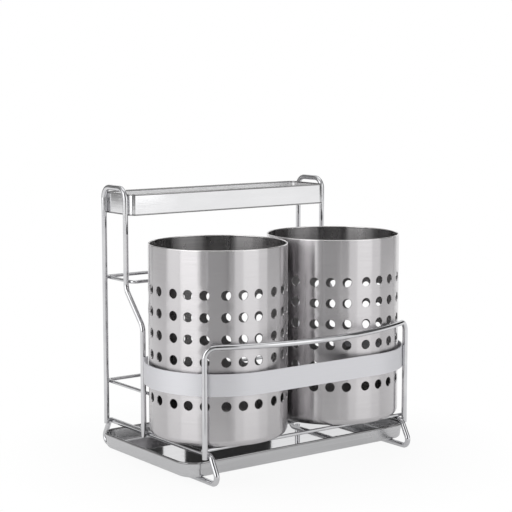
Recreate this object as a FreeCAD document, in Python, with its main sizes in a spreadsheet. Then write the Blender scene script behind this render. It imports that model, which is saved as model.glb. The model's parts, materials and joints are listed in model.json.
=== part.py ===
import FreeCAD, Part
import Sketcher
import math
import os

# Cutlery rack of bent wire with two lift-out cups, a knife bay behind them and a drip tray below.
# X runs along the two cups, -Y is the front, +Z is up and the table is z = 0.
# Sketches are drawn from the line through both cup axes; every placement then moves
# them back by the depth centre, so that the origin is under the middle of the rack.

Vector = FreeCAD.Vector
Constraint = Sketcher.Constraint
doc = FreeCAD.newDocument("CutleryRack")
sheet = doc.addObject("Spreadsheet::Sheet", "Sizes")

sizes = {
    "cups": {
        "cup_radius": 50.0,
        "cup_height": 137.5,
        "cup_wall": 0.8,
        "cup_bottom_bend": 5.0,
        "cup_spacing": 106.0,
        "seat_gap": 0.1,
    },
    "drain_holes": {
        "hole_diameter": 7.0,
        "hole_top_margin": 31.0,
        "hole_bottom_margin": 29.1,
        "hole_step_angle": 13.9,
        "left_cup_turn": 16.3,
        "right_cup_turn": 35.0,
    },
    "wire": {
        "main_wire": 4.0,
        "thin_wire": 2.6,
        "weld_depth": 0.15,
    },
    "cup_strap": {
        "strap_clearance": 2.6,
        "strap_base": 62.4,
        "strap_height": 15.7,
        "strap_thickness": 1.0,
        "strap_lap_angle": 4.0,
    },
    "side_frames": {
        "upright_angle": 45.2,
        "upright_height": 198.8,
        "bay_depth": 30.3,
        "jog_depth": 22.3,
        "jog_top": 125.0,
        "jog_drop": 25.0,
        "jog_bend": 10.0,
        "top_bend": 8.0,
    },
    "feet": {
        "rail_height": 20.8,
        "rail_front_lead": 1.6,
        "rail_rear_lead": 2.0,
        "leg_spread": 10.6,
        "foot_bend": 5.0,
    },
    "front_guard": {
        "guard_height": 96.7,
        "guard_bend": 8.0,
        "guard_clearance": 0.4,
    },
    "knife_band": {
        "band_height": 15.4,
        "band_thickness": 1.0,
        "band_drop": 2.0,
        "band_corner": 5.0,
        "band_overhang": 5.5,
    },
    "guides": {
        "upper_guide_lift": 5.5,
        "lower_guide_height": 51.0,
        "guide_bend": 4.0,
        "guide_tail": 2.4,
    },
    "drip_tray": {
        "tray_overhang": 14.3,
        "tray_margin": 7.5,
        "tray_headroom": 3.7,
        "tray_wall": 0.9,
        "tray_corner": 13.5,
        "tray_draft": 1.5,
        "tray_bottom_bend": 2.5,
    },
}

hole_counts = {"rows": 6, "groups": 8, "in_group": 3, "sides": 6}

# Places that follow from the sizes. The uprights touch the strap at one angle round each cup, and the rails,
# guides, band and tray follow the uprights. The guard's bow passes both cups at its clearance and leaves both
# elbows in line with them: its peak is the smaller root of that condition.
places = {
    "main_radius": "main_wire / 2",
    "thin_radius": "thin_wire / 2",
    "cup_x": "cup_spacing / 2",
    "hole_corner": "hole_diameter / 2 * sqrt(pi / (1.5 * sqrt(3)))",
    "hole_rise": "cup_height - hole_top_margin - hole_bottom_margin",
    "hole_spread_angle": "hole_step_angle * 2",
    "hole_reach": "cup_radius + cup_wall",
    "strap_radius": "cup_radius + strap_clearance + strap_thickness",
    "strap_end_angle": "upright_angle + strap_lap_angle",
    "upright_reach": "strap_radius + main_radius - weld_depth",
    "upright_x": "cup_x + upright_reach * cos(upright_angle)",
    "upright_inner_x": "upright_x - main_radius + weld_depth",
    "upright_foot": "rail_height - main_radius",
    "cup_upright": "upright_reach * sin(upright_angle)",
    "knife_upright": "cup_upright + jog_depth",
    "rear_upright": "knife_upright + bay_depth",
    "jog_bottom": "jog_top - jog_drop",
    "rail_x": "upright_x - main_wire + weld_depth",
    "rail_front": "cup_upright + rail_front_lead",
    "rail_rear": "rear_upright + rail_rear_lead",
    "low_rail_front": "rail_front + leg_spread",
    "low_rail_rear": "rail_rear + leg_spread",
    "guide_x": "upright_inner_x - thin_radius",
    "guide_front": "knife_upright - band_overhang + thin_radius",
    "guide_rear": "rear_upright + band_overhang - thin_radius",
    "guide_tip": "cup_upright - guide_tail",
    "upper_guide_height": "jog_top + upper_guide_lift",
    "band_base": "upright_height - main_radius - band_drop - band_height",
    "band_half_depth": "bay_depth / 2 + band_overhang",
    "band_middle": "knife_upright + bay_depth / 2",
    "cross_height": "rail_height + main_radius + thin_radius - weld_depth",
    "cross_lead": "main_radius + thin_radius - weld_depth",
    "front_cross_place": "cross_lead - cup_upright",
    "rear_cross_place": "cross_lead + cup_upright",
    "cup_floor": "cross_height + thin_radius + seat_gap",
    "guard_offset": "cup_radius + guard_clearance + main_radius",
    "bow_sum": "cup_upright + guard_offset",
    "bow_span": "pow(upright_x; 2) - pow(guard_bend; 2)",
    "bow_middle": "bow_span + pow(bow_sum; 2) - pow(cup_x; 2)",
    "bow_front": "guard_offset * (bow_span + pow(cup_upright; 2))",
    "bow_back": "cup_upright * (pow(cup_x; 2) - pow(guard_offset; 2))",
    "bow_root": "sqrt(pow(bow_middle; 2) - 4 * bow_sum * (bow_front - bow_back))",
    "bow_peak": "(bow_middle - bow_root) / (2 * bow_sum)",
    "bow_lean": "2 * atan((bow_peak - cup_upright) / (upright_x + guard_bend))",
    "foot_lean": "atan(leg_spread / (rail_height - main_radius))",
    "foot_round": "foot_bend * (1 / tan(45 deg - foot_lean / 2) - 1)",
    "front_reach": "bow_peak + main_radius",
    "rear_reach": "low_rail_rear - foot_round + main_radius",
    "depth_shift": "(front_reach - rear_reach) / 2",
    "tray_length": "2 * (rail_x + tray_overhang)",
    "tray_width": "rail_front + rail_rear - 2 * tray_margin",
    "tray_middle": "(rail_rear - rail_front) / 2",
    "tray_base": "main_wire + seat_gap",
    "tray_height": "rail_height - main_radius - tray_base - tray_headroom",
}


def fill_sheet():
    row = 1
    groups = dict(sizes)
    groups["places"] = {alias: "=" + formula for alias, formula in places.items()}
    for group, values in groups.items():
        sheet.set("A%d" % row, group)
        row += 1
        for alias, value in values.items():
            sheet.set("A%d" % row, alias)
            sheet.set("B%d" % row, str(value))
            sheet.setAlias("B%d" % row, alias)
            row += 1
        doc.recompute()


fill_sheet()


def size(alias):
    return "Sizes." + alias


def number(expression):
    value = sheet.evalExpression(expression)
    return float(getattr(value, "Value", value))


def minus(expression):
    return "(-%s)" % expression


def place(item, x="0", y="0", z="0"):
    item.setExpression(".Placement.Base.x", x)
    item.setExpression(".Placement.Base.y", "%s + %s" % (y, size("depth_shift")))
    item.setExpression(".Placement.Base.z", z)


def new_body(label):
    body = doc.addObject("PartDesign::Body", label)
    body.Label = label
    return body


def new_sketch(body, label, plane, offset=None):
    sketch = body.newObject("Sketcher::SketchObject", label)
    support = [item for item in body.Origin.OriginFeatures if item.Role == plane][0]
    sketch.AttachmentSupport = (support, [""])
    sketch.MapMode = "FlatFace"
    if offset:
        sketch.setExpression(".AttachmentOffset.Base.z", offset)
    return sketch


def bind(sketch, constraint, expression):
    index = sketch.addConstraint(constraint)
    sketch.setExpression("Constraints[%d]" % index, expression)


def bind_point(sketch, geometry, end, x, y):
    for kind, expression, axis in (("DistanceX", x, -2), ("DistanceY", y, -1)):
        measure = number(expression)
        if abs(measure) < Part.Precision.confusion():
            sketch.addConstraint(Constraint("PointOnObject", geometry, end, axis))
        elif measure > 0:
            bind(sketch, Constraint(kind, -1, 1, geometry, end, measure), expression)
        else:
            bind(sketch, Constraint(kind, geometry, end, -1, 1, -measure), minus(expression))


def draw_path(sketch, corners, closed):
    """Straight runs from corner to corner with a tangent arc at each corner that has a bend radius."""
    spots = [Vector(number(x), number(y), 0) for x, y, bend in corners]
    bends = [number(bend) if bend else 0 for x, y, bend in corners]
    count = len(corners)
    marks = []
    for spot, (x, y, bend) in zip(spots, corners):
        mark = sketch.addGeometry(Part.Point(spot), True)
        bind_point(sketch, mark, 1, x, y)
        marks.append(mark)

    runs = count if closed else count - 1
    ways = []
    for index in range(runs):
        way = spots[(index + 1) % count] - spots[index]
        ways.append(way.normalize())

    def turn_at(index):
        before, after = ways[index - 1], ways[index % runs]
        return math.atan2(before.x * after.y - before.y * after.x, before.dot(after))

    def trim_at(index):
        index %= count
        if not bends[index]:
            return 0
        return bends[index] * math.tan(abs(turn_at(index)) / 2)

    lines = []
    for index in range(runs):
        after = (index + 1) % count
        start = spots[index] + ways[index] * trim_at(index)
        finish = spots[after] - ways[index] * trim_at(after)
        line = sketch.addGeometry(Part.LineSegment(start, finish), False)
        for corner, end in ((index, 1), (after, 2)):
            if bends[corner]:
                sketch.addConstraint(Constraint("PointOnObject", marks[corner], 1, line))
            else:
                sketch.addConstraint(Constraint("Coincident", line, end, marks[corner], 1))
        lines.append(line)

    for index in range(count):
        if not bends[index]:
            continue
        turn = turn_at(index)
        side = math.copysign(1, turn)
        before = ways[index - 1]
        start = spots[index] - before * trim_at(index)
        centre = start + Vector(-before.y, before.x, 0) * side * bends[index]
        heading = math.atan2(before.y, before.x) - side * math.pi / 2
        first, last = sorted((heading, heading + turn))
        ring = Part.Circle(centre, Vector(0, 0, 1), bends[index])
        arc = sketch.addGeometry(Part.ArcOfCircle(ring, first, last), False)
        enter, leave = (1, 2) if turn > 0 else (2, 1)
        sketch.addConstraint(Constraint("Tangent", lines[index - 1], 2, arc, enter))
        sketch.addConstraint(Constraint("Tangent", arc, leave, lines[index % runs], 1))
        bind(sketch, Constraint("Radius", arc, bends[index]), corners[index][2])
    return sketch


def draw_circle(sketch, x, y, diameter):
    ring = Part.Circle(Vector(number(x), number(y), 0), Vector(0, 0, 1), number(diameter) / 2)
    circle = sketch.addGeometry(ring, False)
    bind_point(sketch, circle, 3, x, y)
    bind(sketch, Constraint("Diameter", circle, number(diameter)), diameter)


def bend_wire(label, plane, corners, closed, section_plane, section_spot, diameter, offset=None):
    """One bent wire: a round section swept along straight runs and bends in one plane."""
    body = new_body(label)
    path = draw_path(new_sketch(body, label + "_path", plane), corners, closed)
    section = new_sketch(body, label + "_section", section_plane, offset)
    draw_circle(section, section_spot[0], section_spot[1], diameter)
    doc.recompute()
    pipe = body.newObject("PartDesign::AdditivePipe", label + "_wire")
    pipe.Profile = section
    pipe.Spine = path
    return body


def rounded_outline(sketch, half_x, half_y, corner, middle_y="0"):
    far, near = "(%s + %s)" % (middle_y, half_y), "(%s - %s)" % (middle_y, half_y)
    corners = [
        (minus(half_x), near, corner),
        (half_x, near, corner),
        (half_x, far, corner),
        (minus(half_x), far, corner),
    ]
    return draw_path(sketch, corners, True)


def side_name(side):
    return "left" if side < 0 else "right"


def side_x(side, expression):
    return minus(expression) if side < 0 else expression


parts = []


# Side frames: a rear upright, a short run across the top and a second upright that
# jogs forward to stand beside the cup.
def make_side_frame(side):
    corners = [
        (size("rear_upright"), size("upright_foot"), None),
        (size("rear_upright"), size("upright_height"), size("top_bend")),
        (size("knife_upright"), size("upright_height"), size("top_bend")),
        (size("knife_upright"), size("jog_top"), size("jog_bend")),
        (size("cup_upright"), size("jog_bottom"), size("jog_bend")),
        (size("cup_upright"), size("upright_foot"), None),
    ]
    spot = ("0", size("rear_upright"))
    label = side_name(side) + "_side_frame"
    foot = size("upright_foot")
    body = bend_wire(label, "YZ_Plane", corners, False, "XY_Plane", spot, size("main_wire"), foot)
    place(body, x=side_x(side, size("upright_x")))
    return body


# Foot loops: an upper rail, two legs that lean outward and a lower rail on the table.
def make_foot_loop(side):
    low_front, low_rear = minus(size("low_rail_front")), size("low_rail_rear")
    corners = [
        ("0", size("main_radius"), None),
        (low_rear, size("main_radius"), size("foot_bend")),
        (size("rail_rear"), size("rail_height"), size("foot_bend")),
        (minus(size("rail_front")), size("rail_height"), size("foot_bend")),
        (low_front, size("main_radius"), size("foot_bend")),
    ]
    label = side_name(side) + "_foot_loop"
    spot = ("0", size("main_radius"))
    body = bend_wire(label, "YZ_Plane", corners, True, "XZ_Plane", spot, size("main_wire"))
    place(body, x=side_x(side, size("rail_x")))
    return body


# Upper guide: a closed ring of thin wire round the knife bay.
def make_upper_guide():
    corners = [
        ("0", size("guide_rear"), None),
        (size("guide_x"), size("guide_rear"), size("guide_bend")),
        (size("guide_x"), size("guide_front"), size("guide_bend")),
        (minus(size("guide_x")), size("guide_front"), size("guide_bend")),
        (minus(size("guide_x")), size("guide_rear"), size("guide_bend")),
    ]
    spot = (size("guide_rear"), "0")
    body = bend_wire("upper_guide_ring", "XY_Plane", corners, True, "YZ_Plane", spot, size("thin_wire"))
    place(body, z=size("upper_guide_height"))
    return body


# Lower guide: thin wire across the back and forward along both sides to the cup uprights.
def make_lower_guide():
    tail = size("guide_tip")
    corners = [
        (minus(size("guide_x")), tail, None),
        (minus(size("guide_x")), size("guide_rear"), size("guide_bend")),
        (size("guide_x"), size("guide_rear"), size("guide_bend")),
        (size("guide_x"), tail, None),
    ]
    spot = (minus(size("guide_x")), "0")
    body = bend_wire(
        "lower_guide_wire", "XY_Plane", corners, False, "XZ_Plane", spot, size("thin_wire"), minus(tail)
    )
    place(body, z=size("lower_guide_height"))
    return body


# Front guard: an upright at each front corner and a top run bowed forward past the cups.
def make_front_guard():
    x, foot, top = number(size("upright_x")), number(size("upright_foot")), number(size("guard_height"))
    front, bend = -number(size("cup_upright")), number(size("guard_bend"))
    lean = math.radians(number(size("bow_lean")))
    peak = Vector(0, -number(size("bow_peak")), top)

    def mirrored(point):
        return Vector(-point.x, point.y, point.z)

    base = Vector(-x, front, foot)
    shoulder = Vector(-x, front, top - bend)
    run = Vector(math.cos(lean), -math.sin(lean), 0)
    elbow = shoulder + run * bend
    half_turn_share = math.sqrt(2) / 2
    knee = elbow + Vector(0, 0, bend * half_turn_share) - run * (bend * half_turn_share)
    entry = elbow + Vector(0, 0, bend)
    edges = [
        Part.LineSegment(base, shoulder),
        Part.Arc(shoulder, knee, entry),
        Part.Arc(entry, peak, mirrored(entry)),
        Part.Arc(mirrored(entry), mirrored(knee), mirrored(shoulder)),
        Part.LineSegment(mirrored(shoulder), mirrored(base)),
    ]
    path = doc.addObject("Part::Feature", "front_guard_path")
    path.Shape = Part.Wire([edge.toShape() for edge in edges])
    section = doc.addObject("Part::Circle", "front_guard_section")
    section.setExpression("Radius", size("main_radius"))
    section.setExpression(".Placement.Base.x", minus(size("upright_x")))
    section.setExpression(".Placement.Base.y", minus(size("cup_upright")))
    section.setExpression(".Placement.Base.z", size("upright_foot"))
    guard = doc.addObject("Part::Sweep", "front_guard")
    guard.Sections = [section]
    guard.Spine = (path, ["Edge%d" % (index + 1) for index in range(len(edges))])
    guard.Solid = True
    guard.Frenet = False
    guard.Label = "front_guard"
    place(guard)
    return guard


# Cross wires: thin rods on the upper rails, one behind each pair of cup uprights; the cups stand on them.
def make_cross_wire(label, y):
    rod = doc.addObject("Part::Cylinder", label)
    rod.Label = label
    rod.setExpression("Radius", size("thin_radius"))
    rod.setExpression("Height", "%s * 2" % size("upright_x"))
    rod.Placement.Rotation = FreeCAD.Rotation(Vector(0, 1, 0), 90)
    place(rod, x=minus(size("upright_x")), y=y, z=size("cross_height"))
    return rod


# Knife band: a flat strip bent into a rounded ring inside the uprights of the knife bay.
def make_knife_band():
    body = new_body("knife_band")
    outline = new_sketch(body, "knife_band_outline", "XY_Plane")
    half_y, middle = size("band_half_depth"), size("band_middle")
    rounded_outline(outline, size("upright_inner_x"), half_y, size("band_corner"), middle)
    inner = [
        "(%s - Sizes.band_thickness)" % expression
        for expression in (size("upright_inner_x"), half_y, size("band_corner"))
    ]
    rounded_outline(outline, inner[0], inner[1], inner[2], middle)
    pad = body.newObject("PartDesign::Pad", "knife_band_strip")
    pad.Profile = outline
    pad.setExpression("Length", size("band_height"))
    place(body, z=size("band_base"))
    return body


# Cup strap: a flat strip from one cup upright round both cups to the other.
def make_cup_strap():
    body = new_body("cup_strap")
    outline = new_sketch(body, "cup_strap_outline", "XY_Plane")
    outer, inner = size("strap_radius"), "(Sizes.strap_radius - Sizes.strap_thickness)"
    end_angle = size("strap_end_angle")
    turn = math.radians(number(end_angle))
    x = number(size("cup_x"))
    ends = {}
    for side in (-1, 1):
        for name, radius in (("outer", outer), ("inner", inner)):
            ring = Part.Circle(Vector(side * x, 0, 0), Vector(0, 0, 1), number(radius))
            down = -math.pi / 2
            first, last = (down, turn) if side > 0 else (math.pi - turn, math.pi * 2 + down)
            arc = outline.addGeometry(Part.ArcOfCircle(ring, first, last), False)
            bind_point(outline, arc, 3, side_x(side, size("cup_x")), "0")
            bind(outline, Constraint("Radius", arc, number(radius)), radius)
            ends[side, name] = arc
    for name, radius in (("outer", outer), ("inner", inner)):
        y = -number(radius)
        run = outline.addGeometry(Part.LineSegment(Vector(-x, y, 0), Vector(x, y, 0)), False)
        outline.addConstraint(Constraint("Tangent", ends[-1, name], 2, run, 1))
        outline.addConstraint(Constraint("Tangent", run, 2, ends[1, name], 1))
    for side, tip in ((-1, 1), (1, 2)):
        way = Vector(side * math.cos(turn), math.sin(turn), 0)
        centre = Vector(side * x, 0, 0)
        start, finish = centre + way * number(inner), centre + way * number(outer)
        cap = outline.addGeometry(Part.LineSegment(start, finish), False)
        outline.addConstraint(Constraint("Coincident", cap, 1, ends[side, "inner"], tip))
        outline.addConstraint(Constraint("Coincident", cap, 2, ends[side, "outer"], tip))
        rise = "(%s * sin(%s))" % (outer, end_angle)
        bind(outline, Constraint("DistanceY", -1, 1, cap, 2, number(rise)), rise)
        low = "(%s * sin(%s))" % (inner, end_angle)
        bind(outline, Constraint("DistanceY", -1, 1, cap, 1, number(low)), low)
    pad = body.newObject("PartDesign::Pad", "cup_strap_strip")
    pad.Profile = outline
    pad.setExpression("Length", size("strap_height"))
    place(body, z=size("strap_base"))
    return body


# Drain holes: rows of holes in groups round the wall. Each has six sides and a round hole's area.
def cut_drain_holes(body, label):
    outline = new_sketch(body, label + "_hole_column", "XZ_Plane")
    turn = math.degrees(math.tau / hole_counts["sides"])
    for row in range(hole_counts["rows"]):
        share = row / (hole_counts["rows"] - 1)
        middle = "Sizes.hole_bottom_margin + Sizes.hole_rise * %.6f" % share
        corners = []
        for index in range(hole_counts["sides"]):
            way = turn * index + turn / 2
            across = "(Sizes.hole_corner * cos(%.1f))" % way
            up = "(%s + Sizes.hole_corner * sin(%.1f))" % (middle, way)
            corners.append((across, up, None))
        draw_path(outline, corners, True)
    column = body.newObject("PartDesign::Pocket", label + "_first_column")
    column.Profile = outline
    column.setExpression("Length", size("hole_reach"))
    doc.recompute()
    pattern = body.newObject("PartDesign::MultiTransform", label + "_holes")
    pattern.Originals = [column]
    group = body.newObject("PartDesign::PolarPattern", label + "_hole_group")
    group.Axis = (outline, ["V_Axis"])
    group.setExpression("Angle", size("hole_spread_angle"))
    group.Occurrences = hole_counts["in_group"]
    ring = body.newObject("PartDesign::PolarPattern", label + "_hole_ring")
    ring.Axis = (outline, ["V_Axis"])
    ring.Angle = 360
    ring.Occurrences = hole_counts["groups"]
    pattern.Transformations = [group, ring]
    body.Tip = pattern


# Cups: one drawn shell with a flat floor, a bent bottom edge and a straight wall with drain holes.
def make_left_cup():
    body = new_body("left_cup")
    profile = new_sketch(body, "cup_profile", "XZ_Plane")
    inside = "(Sizes.cup_radius - Sizes.cup_wall)"
    inner_bend = "(Sizes.cup_bottom_bend - Sizes.cup_wall)"
    corners = [
        ("0", "0", None),
        (size("cup_radius"), "0", size("cup_bottom_bend")),
        (size("cup_radius"), size("cup_height"), None),
        (inside, size("cup_height"), None),
        (inside, size("cup_wall"), inner_bend),
        ("0", size("cup_wall"), None),
    ]
    draw_path(profile, corners, True)
    shell = body.newObject("PartDesign::Revolution", "cup_shell")
    shell.Profile = profile
    shell.ReferenceAxis = (profile, ["V_Axis"])
    shell.Angle = 360
    doc.recompute()
    cut_drain_holes(body, "cup")
    doc.recompute()
    return body


# The right cup is the same cup again, turned a little differently.
def make_right_cup(pattern_cup):
    body = new_body("right_cup")
    copy = body.newObject("PartDesign::FeatureBase", "right_cup_copy")
    copy.BaseFeature = pattern_cup
    doc.recompute()
    return body


def stand_cup(body, side):
    body.setExpression(".Placement.Rotation.Angle", size(body.Label + "_turn"))
    place(body, x=side_x(side, size("cup_x")), z=size("cup_floor"))
    return body


# Drip tray: a shallow pan with rounded corners and walls that lean outward.
def make_drip_tray():
    body = new_body("drip_tray")
    outline = new_sketch(body, "tray_floor_outline", "XY_Plane")
    foot = [
        "(%s - Sizes.tray_draft)" % item
        for item in ("Sizes.tray_length / 2", "Sizes.tray_width / 2", size("tray_corner"))
    ]
    rounded_outline(outline, foot[0], foot[1], foot[2])
    block = body.newObject("PartDesign::Pad", "tray_block")
    block.Profile = outline
    block.setExpression("Length", size("tray_height"))
    doc.recompute()

    def names(kind, items, wanted):
        return ["%s%d" % (kind, index + 1) for index, item in enumerate(items) if wanted(item.BoundBox)]

    slack = number(size("tray_wall"))
    lean = body.newObject("PartDesign::Draft", "tray_wall_draft")
    lean.Base = (block, names("Face", block.Shape.Faces, lambda box: box.ZLength > slack))
    ground = [item for item in body.Origin.OriginFeatures if item.Role == "XY_Plane"][0]
    lean.NeutralPlane = (ground, [""])
    lean.setExpression("Angle", "atan(Sizes.tray_draft / Sizes.tray_height)")
    lean.Reversed = True
    doc.recompute()
    bend = body.newObject("PartDesign::Fillet", "tray_bottom_edge")
    bend.Base = (lean, names("Edge", lean.Shape.Edges, lambda box: box.ZMax < slack))
    bend.setExpression("Radius", size("tray_bottom_bend"))
    doc.recompute()
    shell = body.newObject("PartDesign::Thickness", "tray_shell")
    top = number(size("tray_height")) - slack
    shell.Base = (bend, names("Face", bend.Shape.Faces, lambda box: box.ZMin > top))
    shell.setExpression("Value", size("tray_wall"))
    shell.Reversed = True
    place(body, y=size("tray_middle"), z=size("tray_base"))
    return body


for side in (-1, 1):
    parts.append(make_side_frame(side))
    parts.append(make_foot_loop(side))
left_cup = make_left_cup()
right_cup = make_right_cup(left_cup)
parts.append(stand_cup(left_cup, -1))
parts.append(stand_cup(right_cup, 1))
parts.append(make_upper_guide())
parts.append(make_lower_guide())
parts.append(make_front_guard())
parts.append(make_cross_wire("front_cross_wire", size("front_cross_place")))
parts.append(make_cross_wire("rear_cross_wire", size("rear_cross_place")))
parts.append(make_knife_band())
parts.append(make_cup_strap())
parts.append(make_drip_tray())
doc.recompute()

for item in doc.Objects:
    if "Invalid" in item.State or "Error" in item.State:
        raise RuntimeError("%s is %s" % (item.Label, item.State))
for item in parts:
    shape = item.Shape
    if shape.isNull() or not shape.isValid() or len(shape.Solids) != 1:
        raise RuntimeError("%s has no single valid solid" % item.Label)

os.makedirs("parts", exist_ok=True)
for item in parts:
    item.Shape.exportStep("parts/%s.step" % item.Label)
    box = item.Shape.BoundBox
    print("%-18s volume %8.0f  x %7.1f %7.1f  y %7.1f %7.1f  z %6.1f %6.1f" % (
        item.Label, item.Shape.Volume, box.XMin, box.XMax, box.YMin, box.YMax, box.ZMin, box.ZMax))
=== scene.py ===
import json
import math
import bmesh
import bpy
from mathutils import Matrix, Vector


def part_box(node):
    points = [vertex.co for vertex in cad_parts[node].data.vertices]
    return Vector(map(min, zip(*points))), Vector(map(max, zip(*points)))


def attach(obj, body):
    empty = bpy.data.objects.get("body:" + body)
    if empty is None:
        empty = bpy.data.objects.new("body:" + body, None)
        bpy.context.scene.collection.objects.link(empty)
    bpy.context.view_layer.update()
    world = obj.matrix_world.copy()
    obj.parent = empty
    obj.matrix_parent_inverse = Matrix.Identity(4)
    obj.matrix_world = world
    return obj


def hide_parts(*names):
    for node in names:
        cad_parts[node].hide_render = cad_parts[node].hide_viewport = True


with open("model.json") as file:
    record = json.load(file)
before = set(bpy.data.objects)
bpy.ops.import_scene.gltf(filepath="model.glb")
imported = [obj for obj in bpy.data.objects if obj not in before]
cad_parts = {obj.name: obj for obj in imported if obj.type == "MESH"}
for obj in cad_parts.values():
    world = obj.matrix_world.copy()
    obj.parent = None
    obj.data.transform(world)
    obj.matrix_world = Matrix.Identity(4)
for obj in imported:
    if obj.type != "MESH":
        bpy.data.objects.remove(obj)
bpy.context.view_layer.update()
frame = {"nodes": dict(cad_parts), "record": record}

nodes = frame["nodes"]
print("frame loaded:", len(nodes), "nodes")

mergeDistance = 1e-5      # metres, for doubles
onLine = 1e-6             # metres, for edges that lie on a level
rollSmooth = 60           # degrees, edges sharper than this stay sharp on rolled pieces
noiseLow, noiseHigh = 0.3, 0.7   # most of a noise's values lie between these
noiseRoughness = 0.6


# helpers for meshes
def makePiece(name, bm):
    mesh = bpy.data.meshes.new(name)
    bm.to_mesh(mesh)
    bm.free()
    piece = bpy.data.objects.new(name, mesh)
    bpy.context.scene.collection.objects.link(piece)
    return piece


def shadeSmooth(piece, sharpAngle):
    piece.data.shade_smooth()
    piece.data.set_sharp_from_angle(angle=math.radians(sharpAngle))


def vertsOf(geom):
    return [g for g in geom if isinstance(g, bmesh.types.BMVert)]


def edgesOf(geom):
    return [g for g in geom if isinstance(g, bmesh.types.BMEdge)]


def middleOf(base):
    # middle of a node's box, at table level
    return Vector(((base[0].x + base[1].x) / 2, (base[0].y + base[1].y) / 2, 0))


def roundProfile(bm, radius, sides, place):
    # an upright circle, to be spun or drawn along
    ring = bmesh.ops.create_circle(bm, segments=sides, radius=radius)
    bmesh.ops.rotate(bm, verts=ring["verts"], matrix=Matrix.Rotation(math.pi / 2, 3, "X"))
    bmesh.ops.translate(bm, vec=place, verts=ring["verts"])


def closeUp(bm):
    bmesh.ops.remove_doubles(bm, verts=list(bm.verts), dist=mergeDistance)
    bmesh.ops.recalc_face_normals(bm, faces=list(bm.faces))


# helpers for node trees
def partsOf(material):
    return material.node_tree, material.node_tree.nodes["Principled BSDF"]


def newMaterial(name):
    material = bpy.data.materials.new(name)
    material.use_nodes = True
    return material, *partsOf(material)


def addNode(tree, kind, **values):
    node = tree.nodes.new(kind)
    for key, value in values.items():
        if key in node.inputs:
            node.inputs[key].default_value = value
        else:
            setattr(node, key, value)
    return node


def mathOf(tree, operation, first, second):
    node = addNode(tree, "ShaderNodeMath", operation=operation)
    tree.links.new(first, node.inputs[0])
    tree.links.new(second, node.inputs[1])
    return node.outputs["Value"]


def stretchedNoise(tree, stretch, detail):
    # noise on Object coordinates, drawn out along one direction
    place = addNode(tree, "ShaderNodeTexCoord")
    mapping = addNode(tree, "ShaderNodeMapping", Scale=stretch)
    noise = addNode(tree, "ShaderNodeTexNoise", Scale=1.0, Detail=detail,
                    Roughness=noiseRoughness)
    tree.links.new(place.outputs["Object"], mapping.inputs["Vector"])
    tree.links.new(mapping.outputs["Vector"], noise.inputs["Vector"])
    return noise.outputs["Fac"]


def rangeFrom(tree, source, low, high, fromLow=noiseLow, fromHigh=noiseHigh):
    ranged = addNode(tree, "ShaderNodeMapRange")
    ranged.inputs["From Min"].default_value = fromLow
    ranged.inputs["From Max"].default_value = fromHigh
    ranged.inputs["To Min"].default_value = low
    ranged.inputs["To Max"].default_value = high
    tree.links.new(source, ranged.inputs["Value"])
    return ranged.outputs["Result"]


def toneFrom(tree, source, dark, light):
    ramp = addNode(tree, "ShaderNodeValToRGB")
    ends = ramp.color_ramp.elements
    ends[0].position, ends[0].color = noiseLow, dark
    ends[1].position, ends[1].color = noiseHigh, light
    tree.links.new(source, ramp.inputs["Fac"])
    return ramp.outputs["Color"]


def addBump(tree, shader, source, strength, distance):
    bump = addNode(tree, "ShaderNodeBump", Strength=strength, Distance=distance)
    tree.links.new(source, bump.inputs["Height"])
    tree.links.new(bump.outputs["Normal"], shader.inputs["Normal"])


# camera at the photograph's viewing angle
view = {
    "place": (-0.6406, -0.8577, 0.28167),   # metres, in the rack's frame
    "heading": 36.531,                      # degrees from +Y towards +X
    "tilt": 7.163,                          # degrees below level
    "lens": 101.65,                         # mm
    "sensor": 36.0,                         # mm
    "nearest": 0.01,                        # metres
}

cameraData = bpy.data.cameras.new("rackCamera")
cameraData.lens = view["lens"]
cameraData.sensor_width = view["sensor"]
cameraData.clip_start = view["nearest"]
camera = bpy.data.objects.new("rackCamera", cameraData)
camera.location = view["place"]
camera.rotation_euler = (math.radians(90 - view["tilt"]), 0, math.radians(-view["heading"]))
bpy.context.scene.collection.objects.link(camera)
bpy.context.scene.camera = camera
bpy.context.scene.view_settings.view_transform = "Standard"
print("camera placed")


# cups: a perforated sheet wrapped round, with a bent edge, a floor and a rolled rim
cup = {
    "radius": 0.050,
    "height": 0.1375,
    "wall": 0.0008,
    "bottomBend": 0.005,
    "bendSteps": 6,
    "floorCore": 0.3,         # middle face of the floor, as a share of the floor
    "hole": 0.007,
    "holeSides": 24,
    "rows": 6,
    "topMargin": 0.031,       # rim to the middle of the top row
    "bottomMargin": 0.0291,   # floor to the middle of the bottom row
    "groups": 8,
    "groupHoles": 3,
    "holeStep": 13.9,         # degrees between holes of one group
    "edgeRound": 0.00016,
    "edgeAngle": 60,          # degrees, edges sharper than this are rounded
    "smoothAngle": 28,
    "rimRadius": 0.0006,      # rolled rim, flush with the outside
    "rimSides": 12,
    "rimSteps": 144,
    "insideFrom": 0.9,        # share of the wall behind which a face is inside
    "downFacing": -0.7,       # faces that look down more than this are the underside
    "turn": {"left": 210.2, "right": 228.9},   # middle of one group, degrees
}


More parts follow.
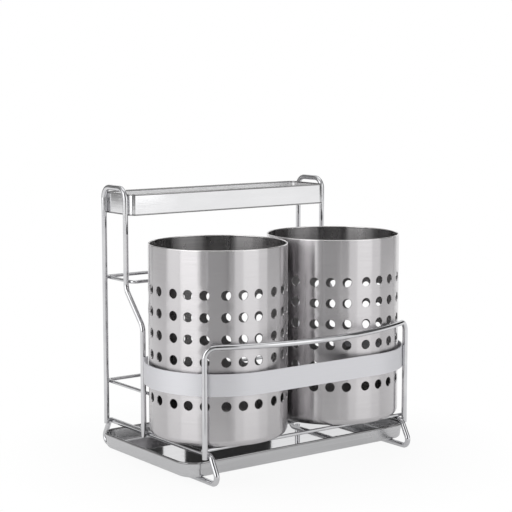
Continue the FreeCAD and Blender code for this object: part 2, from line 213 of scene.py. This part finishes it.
def holeCell(bm, wide, tall):
    # a rectangle with a round hole in its middle
    perSide = cup["holeSides"] // 4
    grid = bmesh.ops.create_grid(bm, x_segments=perSide, y_segments=perSide, size=0.5)
    bmesh.ops.scale(bm, vec=(wide, tall, 1), verts=grid["verts"])
    border = {e for e in bm.edges if e.is_boundary}
    bmesh.ops.delete(bm, geom=list(bm.faces), context="FACES_ONLY")
    loose = [e for e in bm.edges if e not in border]
    bmesh.ops.delete(bm, geom=loose, context="EDGES_FACES")
    bmesh.ops.delete(bm, geom=[v for v in bm.verts if not v.link_edges], context="VERTS")
    ring = bmesh.ops.create_circle(bm, segments=cup["holeSides"], radius=cup["hole"] / 2)
    bmesh.ops.rotate(bm, verts=ring["verts"], matrix=Matrix.Rotation(math.pi / 4, 3, "Z"))
    bmesh.ops.bridge_loops(bm, edges=list(bm.edges))
    return list(bm.verts) + list(bm.edges) + list(bm.faces)


def plainStrip(bm, wide, tall):
    # the sheet between two groups of holes
    strip = bmesh.ops.create_grid(bm, x_segments=2, y_segments=cup["holeSides"] // 4, size=0.5)
    bmesh.ops.scale(bm, vec=(wide, tall, 1), verts=strip["verts"])
    own = set(strip["verts"])
    edges = [e for e in bm.edges if e.verts[0] in own]
    faces = [f for f in bm.faces if f.verts[0] in own]
    return list(strip["verts"]) + edges + faces


def flatSheet(bm):
    # the wall before it is wrapped round
    step = math.radians(cup["holeStep"]) * cup["radius"]
    period = 2 * math.pi * cup["radius"] / cup["groups"]
    spare = period - step * cup["groupHoles"]
    pitch = (cup["height"] - cup["topMargin"] - cup["bottomMargin"]) / (cup["rows"] - 1)
    cell = holeCell(bm, step, pitch)
    strip = plainStrip(bm, spare, pitch)
    places = []
    for group in range(cup["groups"]):
        for hole in range(cup["groupHoles"]):
            places.append((cell, group * period + (hole + 0.5) * step))
        places.append((strip, (group + 1) * period - spare / 2))
    for row in range(cup["rows"]):
        up = cup["bottomMargin"] + row * pitch
        for geom, across in places:
            copy = bmesh.ops.duplicate(bm, geom=geom)
            bmesh.ops.translate(bm, vec=(across, up, 0), verts=vertsOf(copy["geom"]))
    bmesh.ops.delete(bm, geom=vertsOf(cell + strip), context="VERTS")
    bmesh.ops.remove_doubles(bm, verts=list(bm.verts), dist=mergeDistance)
    # plain bands above and below the holes
    levels = [v.co.y for v in bm.verts]
    ends = ((max(levels), cup["height"] - cup["rimRadius"]), (min(levels), cup["bottomBend"]))
    for level, goal in ends:
        line = [e for e in bm.edges if all(abs(v.co.y - level) < onLine for v in e.verts)]
        out = bmesh.ops.extrude_edge_only(bm, edges=line)
        bmesh.ops.translate(bm, vec=(0, goal - level, 0), verts=vertsOf(out["geom"]))


def buildCup(side):
    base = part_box(side + "_cup")
    radius, bend = cup["radius"], cup["bottomBend"]
    bm = bmesh.new()
    flatSheet(bm)

    # wrap the flat sheet round the cup
    start = math.radians(cup["turn"][side] - cup["holeStep"] * cup["groupHoles"] / 2)
    for vert in bm.verts:
        angle = start + vert.co.x / radius
        vert.co = Vector((math.cos(angle) * radius, math.sin(angle) * radius, vert.co.y))
    bmesh.ops.remove_doubles(bm, verts=list(bm.verts), dist=mergeDistance)

    # bent bottom edge and floor
    line = [e for e in bm.edges if all(abs(v.co.z - bend) < onLine for v in e.verts)]
    reach = radius
    for index in range(cup["bendSteps"]):
        turn = math.pi / 2 * (index + 1) / cup["bendSteps"]
        goal = radius - bend + bend * math.cos(turn)
        height = bend - bend * math.sin(turn)
        out = bmesh.ops.extrude_edge_only(bm, edges=line)
        moved, line = vertsOf(out["geom"]), edgesOf(out["geom"])
        bmesh.ops.scale(bm, vec=(goal / reach, goal / reach, 1), verts=moved)
        bmesh.ops.translate(bm, vec=(0, 0, height - moved[0].co.z), verts=moved)
        reach = goal
    out = bmesh.ops.extrude_edge_only(bm, edges=line)
    core = cup["floorCore"]
    bmesh.ops.scale(bm, vec=(core, core, 1), verts=vertsOf(out["geom"]))
    bmesh.ops.contextual_create(bm, geom=edgesOf(out["geom"]))

    bmesh.ops.recalc_face_normals(bm, faces=list(bm.faces))
    bmesh.ops.solidify(bm, geom=list(bm.faces), thickness=cup["wall"])
    bmesh.ops.recalc_face_normals(bm, faces=list(bm.faces))
    edgeAngle = math.radians(cup["edgeAngle"])
    sharp = [e for e in bm.edges if len(e.link_faces) == 2 and e.calc_face_angle() > edgeAngle]
    bmesh.ops.bevel(bm, geom=sharp, offset=cup["edgeRound"], offset_type="OFFSET", segments=2,
                    profile=0.5, affect="EDGES", material=-1, clamp_overlap=True)
    place = middleOf(base) + Vector((0, 0, base[0].z))
    bmesh.ops.translate(bm, vec=place, verts=list(bm.verts))
    piece = makePiece(side + "CupShell", bm)
    shadeSmooth(piece, cup["smoothAngle"])
    even = piece.modifiers.new("evenNormals", "WEIGHTED_NORMAL")   # no dimples round the holes
    even.keep_sharp = True
    return piece


def buildCupRim(side):
    base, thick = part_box(side + "_cup"), cup["rimRadius"]
    bm = bmesh.new()
    place = (cup["radius"] - thick, 0, base[0].z + cup["height"] - thick)
    roundProfile(bm, thick, cup["rimSides"], place)
    bmesh.ops.spin(bm, geom=list(bm.verts) + list(bm.edges), cent=(0, 0, 0), axis=(0, 0, 1),
                   angle=2 * math.pi, steps=cup["rimSteps"], use_merge=True)
    closeUp(bm)
    bmesh.ops.translate(bm, vec=middleOf(base), verts=list(bm.verts))
    piece = makePiece(side + "CupRim", bm)
    shadeSmooth(piece, rollSmooth)
    return piece


def markCup(side, piece):
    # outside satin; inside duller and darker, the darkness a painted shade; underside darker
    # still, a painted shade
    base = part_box(side + "_cup")
    middle = middleOf(base)
    floorLevel = base[0].z + cup["wall"] / 2
    inner = cup["radius"] - cup["wall"] * cup["insideFrom"]
    flat = cup["radius"] - cup["bottomBend"]
    for face in piece.data.polygons:
        out = Vector((face.center.x, face.center.y, 0)) - middle
        # the underside: a painted shade
        if face.center.z < floorLevel and face.normal.z < cup["downFacing"]:
            face.material_index = 2
        # the inside walls and floor: a duller finish with a painted shade
        if face.center.z > floorLevel and out.length < inner:
            if out.length < flat or out.dot(face.normal) < 0:
                face.material_index = 1


cupPieces = {side: buildCup(side) for side in ("left", "right")}
cupRims = {side: buildCupRim(side) for side in cupPieces}
for side, piece in cupRims.items():
    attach(piece, side + "_cup")
for side, piece in cupPieces.items():
    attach(piece, side + "_cup")
    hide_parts(side + "_cup")
    print(side, "cup made:", len(piece.data.polygons), "faces")


# rolled edges: the drip tray's rim, and the top and bottom of the band
trayRoll = {
    "corner": 0.0135,         # outer corner radius of the sheet
    "radius": 0.0008,
    "inset": 0.0003,          # the roll covers the edge of the sheet
    "cornerSteps": 10,
    "sides": 12,
}
bandRoll = {
    "corner": 0.0050,
    "radius": 0.0007,
    "inset": 0.0005,
    "cornerSteps": 8,
    "sides": 12,
}


def rolledEdge(name, base, height, roll):
    corner = roll["corner"] - roll["inset"]
    wide = (base[1].x - base[0].x) / 2 - roll["inset"]
    deep = (base[1].y - base[0].y) / 2 - roll["inset"]
    bm = bmesh.new()
    roundProfile(bm, roll["radius"], roll["sides"], (wide, corner - deep, 0))
    last = list(bm.edges)
    # straight run and corner, four times round
    sides = (((0, 1), deep, (1, 1)), ((-1, 0), wide, (-1, 1)),
             ((0, -1), deep, (-1, -1)), ((1, 0), wide, (1, -1)))
    for run, half, bend in sides:
        length = 2 * (half - corner)
        out = bmesh.ops.extrude_edge_only(bm, edges=edgesOf(last))
        moved = vertsOf(out["geom"])
        bmesh.ops.translate(bm, vec=(run[0] * length, run[1] * length, 0), verts=moved)
        line = [e for e in edgesOf(out["geom"]) if all(v in moved for v in e.verts)]
        centre = (bend[0] * (wide - corner), bend[1] * (deep - corner), 0)
        spun = bmesh.ops.spin(bm, geom=moved + line, cent=centre, axis=(0, 0, 1),
                              angle=math.pi / 2, steps=roll["cornerSteps"])
        last = spun["geom_last"]
    closeUp(bm)
    place = middleOf(base) + Vector((0, 0, height))
    bmesh.ops.translate(bm, vec=place, verts=list(bm.verts))
    piece = makePiece(name, bm)
    shadeSmooth(piece, rollSmooth)
    return piece


trayBox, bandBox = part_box("drip_tray"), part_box("knife_band")
trayRim = rolledEdge("trayRim", trayBox, trayBox[1].z - trayRoll["inset"], trayRoll)
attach(trayRim, "tray")
bandEdges = [rolledEdge("bandTopEdge", bandBox, bandBox[1].z - bandRoll["inset"], bandRoll),
             rolledEdge("bandLowEdge", bandBox, bandBox[0].z + bandRoll["inset"], bandRoll)]
for piece in bandEdges:
    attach(piece, "rack")
print("rolled edges made")


# steel finishes: a grain is how many waves to the metre along X, Y and Z, and its detail
def steelFinish(name, finish):
    material, tree, shader = newMaterial(name)
    shader.inputs["Metallic"].default_value = 1.0
    tone = stretchedNoise(tree, *finish["toneGrain"])
    gloss = stretchedNoise(tree, *finish["glossGrain"])
    relief = stretchedNoise(tree, *finish["reliefGrain"])
    colour = toneFrom(tree, tone, finish["dark"], finish["light"])
    tree.links.new(colour, shader.inputs["Base Color"])
    tree.links.new(rangeFrom(tree, gloss, *finish["gloss"]), shader.inputs["Roughness"])
    addBump(tree, shader, relief, *finish["relief"])
    return material


def brushRound(material):
    # drawn round the cup, so glints run up and down
    tree, shader = partsOf(material)
    shader.inputs["Anisotropic"].default_value = 1.0
    shader.inputs["Anisotropic Rotation"].default_value = 0.25
    around = addNode(tree, "ShaderNodeTangent", direction_type="RADIAL", axis="Z")
    tree.links.new(around.outputs["Tangent"], shader.inputs["Tangent"])


def paleInside(material, base, inside):
    # paler and more satin on the faces that look in towards the middle
    tree, shader = partsOf(material)
    plainTone = shader.inputs["Base Color"].links[0].from_socket
    plainGloss = shader.inputs["Roughness"].links[0].from_socket
    place = addNode(tree, "ShaderNodeTexCoord")
    outward = addNode(tree, "ShaderNodeMapping", Location=-middleOf(base), Scale=(1, 1, 0))
    surface = addNode(tree, "ShaderNodeNewGeometry")
    turned = addNode(tree, "ShaderNodeVectorMath", operation="DOT_PRODUCT")
    tree.links.new(place.outputs["Object"], outward.inputs["Vector"])
    tree.links.new(outward.outputs["Vector"], turned.inputs[0])
    tree.links.new(surface.outputs["Normal"], turned.inputs[1])
    share = rangeFrom(tree, turned.outputs["Value"], 1, 0, *inside["edge"])
    tone = addNode(tree, "ShaderNodeMix", data_type="RGBA")
    tone.inputs["B"].default_value = inside["tone"]
    tree.links.new(share, tone.inputs["Factor"])
    tree.links.new(plainTone, tone.inputs["A"])
    tree.links.new(tone.outputs["Result"], shader.inputs["Base Color"])
    satin = rangeFrom(tree, turned.outputs["Value"], inside["satin"], 0, *inside["edge"])
    tree.links.new(mathOf(tree, "ADD", satin, plainGloss), shader.inputs["Roughness"])


def brightFloor(material, levels):
    # bright on the floor of the tray, less so inside its walls, satin outside
    tree, shader = partsOf(material)
    patch = shader.inputs["Roughness"].links[0].from_socket
    surface = addNode(tree, "ShaderNodeNewGeometry")
    facing = addNode(tree, "ShaderNodeSeparateXYZ")
    tree.links.new(surface.outputs["Normal"], facing.inputs["Vector"])
    up = facing.outputs["Z"]
    wall = rangeFrom(tree, up, levels["outside"], levels["wall"], *levels["wallFacing"])
    base = rangeFrom(tree, up, levels["outside"], levels["floor"], *levels["floorFacing"])
    gloss = mathOf(tree, "MINIMUM", wall, base)
    tree.links.new(mathOf(tree, "MULTIPLY", gloss, patch), shader.inputs["Roughness"])


chromeWire = steelFinish("chromeWire", {
    "light": (0.67, 0.67, 0.68, 1), "dark": (0.59, 0.59, 0.61, 1), "gloss": (0.03, 0.08),
    "toneGrain": ((90, 90, 90), 4.0), "glossGrain": ((90, 90, 90), 4.0),
    "reliefGrain": ((1400, 1400, 1400), 3.0), "relief": (0.04, 0.0002),
})
polishedStrip = steelFinish("polishedStrip", {
    "light": (0.82, 0.82, 0.83, 1), "dark": (0.78, 0.78, 0.79, 1), "gloss": (0.05, 0.09),
    "toneGrain": ((40, 40, 160), 4.0), "glossGrain": ((40, 40, 160), 4.0),
    "reliefGrain": ((60, 60, 2600), 3.0), "relief": (0.05, 0.0001),
})
paleInside(polishedStrip, bandBox, {
    "tone": (0.94, 0.94, 0.945, 1), "satin": 0.35,
    "edge": (-0.002, -0.001),               # metres, over which the finish changes
})
satinStrip = steelFinish("satinStrip", {
    "light": (0.78, 0.78, 0.806, 1), "dark": (0.74, 0.74, 0.765, 1), "gloss": (0.56, 0.64),
    "toneGrain": ((50, 50, 3200), 3.0), "glossGrain": ((50, 50, 3200), 3.0),
    "reliefGrain": ((50, 50, 3200), 3.0), "relief": (0.03, 0.0001),
})
brushedCup = steelFinish("brushedCup", {
    "light": (0.61, 0.595, 0.605, 1), "dark": (0.56, 0.545, 0.555, 1), "gloss": (0.22, 0.26),
    "toneGrain": ((30, 30, 2800), 4.0), "glossGrain": ((35, 35, 12), 4.0),
    "reliefGrain": ((30, 30, 2800), 4.0), "relief": (0.02, 0.0001),
})
brushRound(brushedCup)
# inside of the cups: duller brushed steel, and darker as a painted shade
cupInsideDullAndPaintedShade = steelFinish("cupInsideDullAndPaintedShade", {
    "light": (0.37, 0.36, 0.36, 1), "dark": (0.27, 0.265, 0.27, 1), "gloss": (0.24, 0.30),
    "toneGrain": ((30, 30, 1800), 4.0), "glossGrain": ((60, 60, 20), 4.0),
    "reliefGrain": ((30, 30, 1800), 4.0), "relief": (0.03, 0.0001),
})
brushRound(cupInsideDullAndPaintedShade)
# near-black underside of the cups: a painted shade
cupUnderPaintedShade = steelFinish("cupUnderPaintedShade", {
    "light": (0.21, 0.205, 0.205, 1), "dark": (0.15, 0.147, 0.147, 1), "gloss": (0.20, 0.30),
    "toneGrain": ((50, 50, 50), 4.0), "glossGrain": ((50, 50, 50), 4.0),
    "reliefGrain": ((800, 800, 800), 3.0), "relief": (0.04, 0.0001),
})
brightRim = steelFinish("brightRim", {
    "light": (0.80, 0.79, 0.785, 1), "dark": (0.72, 0.71, 0.71, 1), "gloss": (0.10, 0.18),
    "toneGrain": ((140, 140, 140), 4.0), "glossGrain": ((140, 140, 140), 4.0),
    "reliefGrain": ((900, 900, 900), 3.0), "relief": (0.05, 0.0001),
})
# rolled edges in dark steel: the darkness is a painted shade for the dark lines along the rims
rolledSteelPaintedShade = steelFinish("rolledSteelPaintedShade", {
    "light": (0.37, 0.367, 0.37, 1), "dark": (0.31, 0.307, 0.31, 1), "gloss": (0.06, 0.12),
    "toneGrain": ((120, 120, 120), 4.0), "glossGrain": ((120, 120, 120), 4.0),
    "reliefGrain": ((900, 900, 900), 3.0), "relief": (0.04, 0.0001),
})
traySheet = steelFinish("traySheet", {
    "light": (0.67, 0.67, 0.68, 1), "dark": (0.60, 0.60, 0.61, 1),
    "gloss": (0.8, 1.2),                    # times the levels below
    "toneGrain": ((8, 900, 900), 3.0), "glossGrain": ((18, 18, 18), 4.0),
    "reliefGrain": ((8, 900, 900), 3.0), "relief": (0.02, 0.0001),
})
brightFloor(traySheet, {
    "floor": 0.04, "wall": 0.18, "outside": 0.24,
    "wallFacing": (0.0, 0.08), "floorFacing": (0.5, 0.95),   # how far a face looks up
})

finishes = {
    "chrome_wire": chromeWire,
    "polished_strip": polishedStrip,
    "satin_strip": satinStrip,
    "brushed_cup": brushedCup,
    "tray_sheet": traySheet,
}
for part in frame["record"]["subparts"]:
    for slot in nodes[part["node"]].material_slots:
        slot.material = finishes[part["material_slot"]]
for side, piece in cupPieces.items():
    for finish in (brushedCup, cupInsideDullAndPaintedShade, cupUnderPaintedShade):
        piece.data.materials.append(finish)
    markCup(side, piece)
for piece in cupRims.values():
    piece.data.materials.append(brightRim)
# the rolled edges take the dark steel, a painted shade
for piece in (trayRim, *bandEdges):
    piece.data.materials.append(rolledSteelPaintedShade)
print("finishes set")


# floor and background, white to the camera and in the steel
stage = {
    "floorSize": 6.0,
    "floorTone": 0.93,
    "fadeFrom": 0.10,         # metres from the middle of the rack
    "cameraFade": (0.93, 0.20),   # share of white near the rack, and where it is whole
    "glossyFade": (0.45, 0.30),
    "worldLight": 0.75,
    "ceiling": 0.5,           # share of the light that comes from straight above
    "ceilingRise": (0.3, 0.8),
}


def mattMaterial(name, tone):
    material, tree, shader = newMaterial(name)
    shader.inputs["Base Color"].default_value = (tone, tone, tone, 1)
    shader.inputs["Roughness"].default_value = 0.9
    shader.inputs["Specular IOR Level"].default_value = 0.0
    return material, tree, shader


bm = bmesh.new()
bmesh.ops.create_grid(bm, x_segments=1, y_segments=1, size=stage["floorSize"] / 2)
floor = makePiece("paleFloor", bm)
floorMaterial, tree, shader = mattMaterial("paleFloor", stage["floorTone"])
white = addNode(tree, "ShaderNodeEmission", Strength=1.0)
place = addNode(tree, "ShaderNodeTexCoord")
length = addNode(tree, "ShaderNodeVectorMath", operation="LENGTH")
tree.links.new(place.outputs["Object"], length.inputs[0])
path = addNode(tree, "ShaderNodeLightPath")
shares = []
for ray, fade in (("Is Camera Ray", "cameraFade"), ("Is Glossy Ray", "glossyFade")):
    near, reach = stage[fade]
    whiteness = rangeFrom(tree, length.outputs["Value"], near, 1.0, stage["fadeFrom"], reach)
    shares.append(mathOf(tree, "MULTIPLY", whiteness, path.outputs[ray]))
mix = addNode(tree, "ShaderNodeMixShader")
tree.links.new(mathOf(tree, "MAXIMUM", *shares), mix.inputs["Fac"])
tree.links.new(shader.outputs["BSDF"], mix.inputs[1])
tree.links.new(white.outputs["Emission"], mix.inputs[2])
tree.links.new(mix.outputs["Shader"], tree.nodes["Material Output"].inputs["Surface"])
floor.data.materials.append(floorMaterial)

world = bpy.data.worlds.new("studio")
bpy.context.scene.world = world
world.use_nodes = True
tree = world.node_tree
background = tree.nodes["Background"]
background.inputs["Color"].default_value = (1, 1, 1, 1)
path = addNode(tree, "ShaderNodeLightPath").outputs
seen = mathOf(tree, "MAXIMUM", path["Is Camera Ray"], path["Is Glossy Ray"])
seen = mathOf(tree, "MAXIMUM", seen, path["Is Transmission Ray"])
strength = rangeFrom(tree, seen, stage["worldLight"], 1.0, 0.0, 1.0)
sky = addNode(tree, "ShaderNodeTexCoord")
rise = addNode(tree, "ShaderNodeSeparateXYZ")
tree.links.new(sky.outputs["Generated"], rise.inputs["Vector"])
ceiling = rangeFrom(tree, rise.outputs["Z"], 1.0, stage["ceiling"], *stage["ceilingRise"])
tree.links.new(mathOf(tree, "MULTIPLY", strength, ceiling), background.inputs["Strength"])
print("floor and background set")


# cards and lamps: turn and spread in degrees, seen from the rack, with the camera at 0
tall, short = (-0.4, 2.2), (0.28, 0.52)   # metres, lower and upper edge of a card
cards = {
    "greyCard": {"turn": -1, "spread": 15.5, "away": 2.0, "reach": tall, "tone": 0.28},
    "leftEdgeCard": {"turn": -22, "spread": 5.0, "away": 1.9, "reach": tall, "tone": 0.01},
    "rightEdgeCard": {"turn": 20, "spread": 6.5, "away": 1.9, "reach": tall, "tone": 0.03},
    "leftFarCard": {"turn": -119, "spread": 31, "away": 2.2, "reach": tall, "tone": 0.52},
    "rightFarCard": {"turn": 112, "spread": 25, "away": 2.2, "reach": tall, "tone": 0.22},
    "leftLineCard": {"turn": -132, "spread": 4, "away": 2.0, "reach": tall, "tone": 0.02},
    "rightLineCard": {"turn": 128, "spread": 6, "away": 2.0, "reach": tall, "tone": 0.02},
    "backCardLeft": {"turn": 188.6, "spread": 2, "away": 1.5, "reach": short, "tone": 0.07},
    "backCardMiddle": {"turn": 182.1, "spread": 3, "away": 1.5, "reach": short, "tone": 0.05},
}
lowCard = {"turn": -1, "spread": 15.5, "near": 0.24, "far": 0.95, "lift": 0.002, "tone": 0.93}
lamps = {
    "leftSoft": {"turn": -46, "away": 1.9, "size": (1.10, 1.7), "lift": 0.75, "power": 7.2},
    "leftFill": {"turn": -74, "away": 1.9, "size": (0.81, 1.7), "lift": 0.75, "power": 2.0},
    "rightSoft": {"turn": 55, "away": 1.9, "size": (1.02, 1.7), "lift": 0.75, "power": 3.4},
}
topLamp = {"place": (0.1, 0.1, 1.6), "size": (1.2, 1.2), "power": 4.0}
aim = Vector((0, 0, 0.1))            # all lamps point here
facing = 180 + view["heading"]       # from the rack towards the camera


def spreadWidth(away, spread):
    return 2 * away * math.tan(math.radians(spread))


def finishCard(name, bm, card):
    turn = Matrix.Rotation(math.radians(card["turn"] - facing), 3, "Z")
    bmesh.ops.rotate(bm, verts=list(bm.verts), matrix=turn)
    piece = makePiece(name, bm)
    piece.data.materials.append(mattMaterial(name, card["tone"])[0])
    piece.visible_camera = False     # seen in the steel only


def addCard(name, card):
    # an upright card that faces the rack
    low, high = card["reach"]
    size = (spreadWidth(card["away"], card["spread"]), high - low, 1)
    bm = bmesh.new()
    bmesh.ops.create_grid(bm, x_segments=1, y_segments=1, size=0.5)
    bmesh.ops.scale(bm, vec=size, verts=list(bm.verts))
    bmesh.ops.rotate(bm, verts=list(bm.verts), matrix=Matrix.Rotation(math.pi / 2, 3, "X"))
    bmesh.ops.translate(bm, vec=(0, card["away"], (low + high) / 2), verts=list(bm.verts))
    finishCard(name, bm, card)


def addLowCard(name, card):
    # a card that lies in front of the rack and widens away from it
    bm = bmesh.new()
    bmesh.ops.create_grid(bm, x_segments=1, y_segments=1, size=0.5)
    nearEnd = [v for v in bm.verts if v.co.y < 0]
    farEnd = [v for v in bm.verts if v.co.y > 0]
    for end, away in ((nearEnd, card["near"]), (farEnd, card["far"])):
        bmesh.ops.scale(bm, vec=(spreadWidth(away, card["spread"]), 0, 1), verts=end)
        bmesh.ops.translate(bm, vec=(0, away, card["lift"]), verts=end)
    finishCard(name, bm, card)


def addSoftLight(name, place, size, power):
    data = bpy.data.lights.new(name, "AREA")
    data.shape = "RECTANGLE"
    data.size, data.size_y = size
    data.energy = power
    lamp = bpy.data.objects.new(name, data)
    lamp.location = place
    lamp.rotation_euler = (aim - Vector(place)).to_track_quat("-Z", "Y").to_euler()
    bpy.context.scene.collection.objects.link(lamp)


for name, card in cards.items():
    addCard(name, card)
addLowCard("lowCard", lowCard)
for name, lamp in lamps.items():
    angle, away = math.radians(facing - lamp["turn"]), lamp["away"]
    place = (math.sin(angle) * away, math.cos(angle) * away, lamp["lift"])
    addSoftLight(name, place, lamp["size"], lamp["power"])
addSoftLight("topSoft", topLamp["place"], topLamp["size"], topLamp["power"])
print("cards and lamps set")
